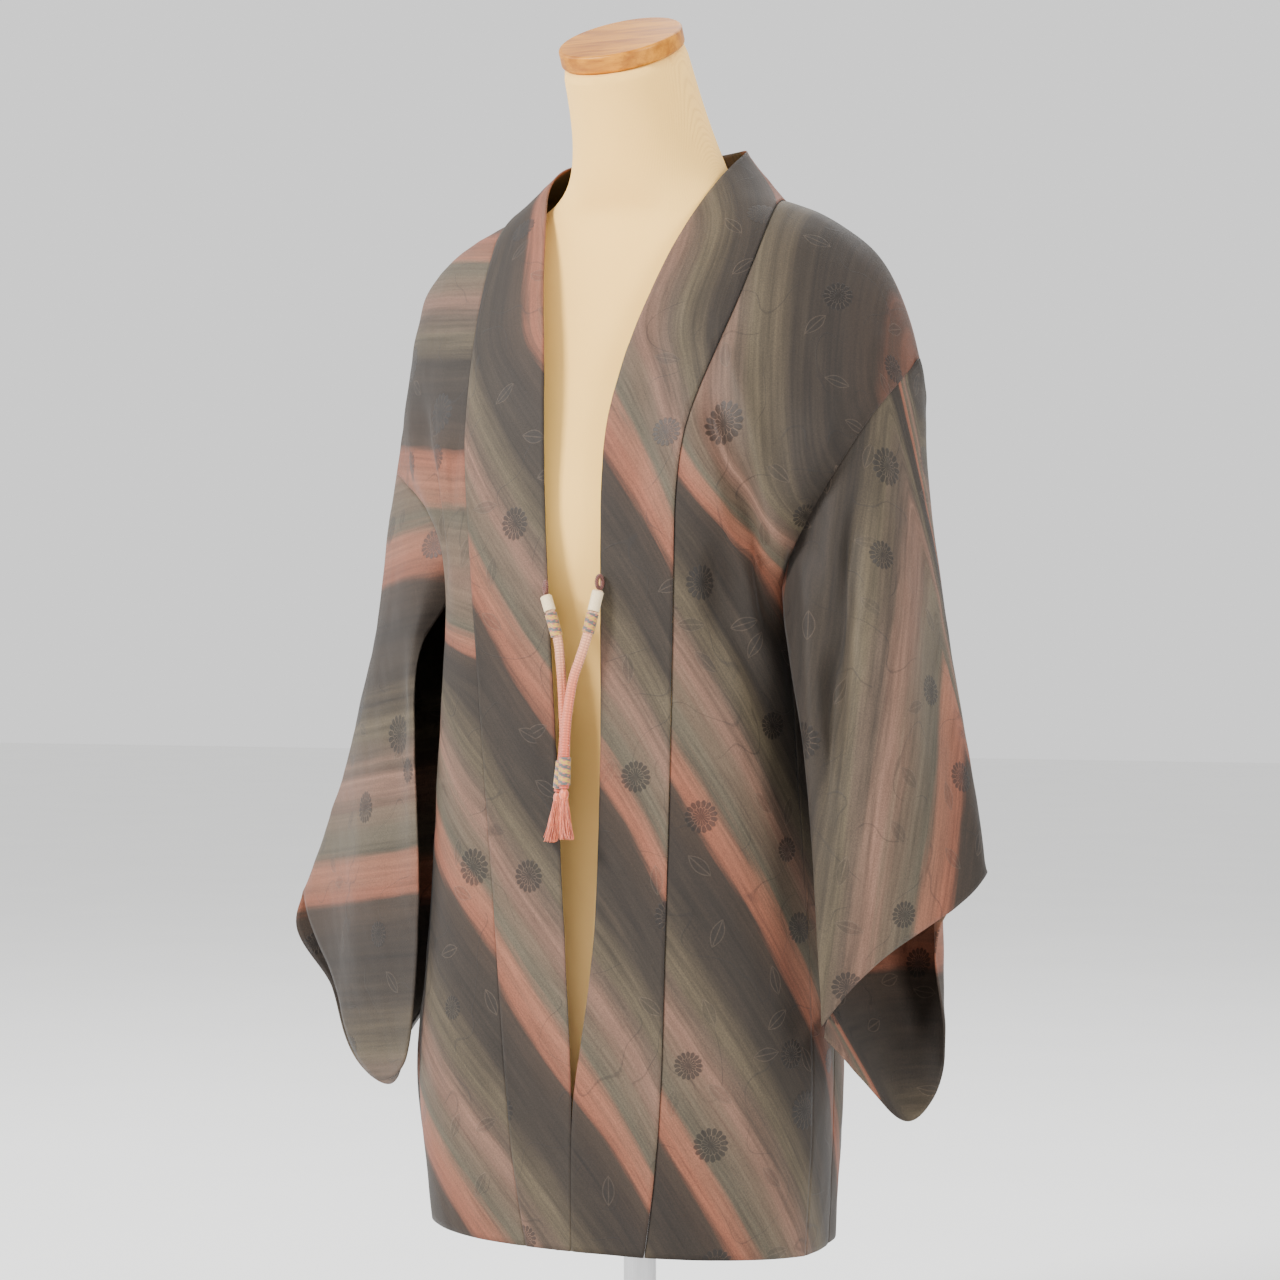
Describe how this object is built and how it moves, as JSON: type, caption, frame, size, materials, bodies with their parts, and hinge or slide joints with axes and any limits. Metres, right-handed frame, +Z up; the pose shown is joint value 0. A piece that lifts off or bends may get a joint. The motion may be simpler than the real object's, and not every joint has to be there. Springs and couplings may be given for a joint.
{
  "type": "haori jacket on a dress form",
  "caption": "Open-fronted haori jacket with wide hanging sleeves and tasselled front ties, worn by a limbless dress form on a round stand.",
  "frame": {"origin": "centre of the underside of the stand's round base", "axes": "+Z up, -Y out of the garment's open front, +X towards the garment's left sleeve"},
  "size_m": [0.622, 0.34, 1.1057],
  "materials": {
    "crepe": "matt patterned silk crepe",
    "jersey": "fine matt knit over the form",
    "cap_wood": "clear satin lacquer",
    "stand_wood": "clear satin lacquer",
    "stand_steel": "satin",
    "braid": "silk braid, soft sheen",
    "wrap_thread": "wound silk thread",
    "tassel_silk": "loose silk thread",
    "loop_cord": "twisted cord"
  },
  "bodies": {
    "root": {"body_left": "crepe", "body_right": "crepe", "collar": "crepe", "form_torso": "jersey", "gusset_left": "crepe", "gusset_right": "crepe", "loop_left": "loop_cord", "loop_right": "loop_cord", "lower_wrap_left": "wrap_thread", "lower_wrap_right": "wrap_thread", "neck_cap": "cap_wood", "sleeve_left": "crepe", "sleeve_right": "crepe", "stand_base": "stand_wood", "stand_pole": "stand_steel", "tassel_left": "tassel_silk", "tassel_right": "tassel_silk", "tie_cord_left": "braid", "tie_cord_right": "braid", "upper_wrap_left": "wrap_thread", "upper_wrap_right": "wrap_thread"}
  },
  "joints": []
}
